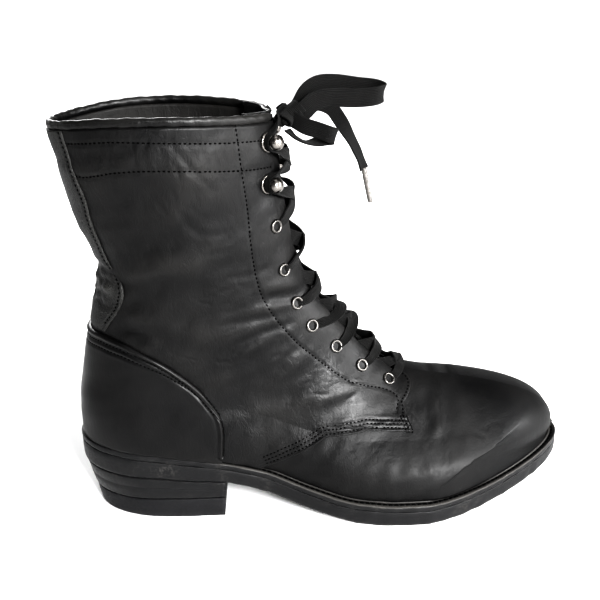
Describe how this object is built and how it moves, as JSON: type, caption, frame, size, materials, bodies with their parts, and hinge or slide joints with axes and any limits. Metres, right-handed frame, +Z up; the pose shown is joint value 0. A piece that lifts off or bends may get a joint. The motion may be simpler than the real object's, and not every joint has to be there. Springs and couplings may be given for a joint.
{
  "type": "lace-up combat boot, right foot",
  "caption": "Black leather ankle-high lace-up combat boot with stacked heel, stitched welt, heel counter, speed hooks over eyelets and a flat lace tied in a bow.",
  "frame": {"origin": "centre of the heel's resting face, on the floor", "axes": "+X towards the toe, along the length of the sole; +Y to the wearer's left, which is the inner side of this right boot; +Z up"},
  "size_m": [0.3, 0.1079, 0.2522],
  "materials": {
    "upper_leather": "smooth semi-gloss black leather, creased and lightly worn",
    "tongue_leather": "soft black leather, duller than the upper",
    "insole_board": "dark sock lining over leather board",
    "sole_edge": "black edge dressing, scuffed along the welt",
    "heel_rubber": "hard black rubber, fine horizontal marks",
    "hardware": "dark nickel plate",
    "lace_cotton": "flat woven black lace",
    "aglet_plastic": "clear plastic tip over the woven end"
  },
  "bodies": {
    "root": {"aglet": "aglet_plastic", "collar_binding": "upper_leather", "eyelet_1_inner": "hardware", "eyelet_1_outer": "hardware", "eyelet_2_inner": "hardware", "eyelet_2_outer": "hardware", "eyelet_3_inner": "hardware", "eyelet_3_outer": "hardware", "eyelet_4_inner": "hardware", "eyelet_4_outer": "hardware", "eyelet_5_inner": "hardware", "eyelet_5_outer": "hardware", "eyelet_6_inner": "hardware", "eyelet_6_outer": "hardware", "eyelet_7_inner": "hardware", "eyelet_7_outer": "hardware", "heel_base": "sole_edge", "heel_counter": "upper_leather", "heel_top_lift": "heel_rubber", "hook_8_inner": "hardware", "hook_8_outer": "hardware", "hook_9_inner": "hardware", "hook_9_outer": "hardware", "insole": "insole_board", "lace_cross_1": "lace_cotton", "lace_cross_2": "lace_cotton", "lace_cross_3": "lace_cotton", "lace_cross_4": "lace_cotton", "lace_cross_5": "lace_cotton", "lace_cross_6": "lace_cotton", "lace_cross_7": "lace_cotton", "lace_cross_8": "lace_cotton", "lace_end": "lace_cotton", "lace_knot": "lace_cotton", "lace_loop_long": "lace_cotton", "lace_loop_short": "lace_cotton", "outsole": "sole_edge", "tongue": "tongue_leather", "upper": "upper_leather", "welt": "sole_edge"}
  },
  "joints": []
}
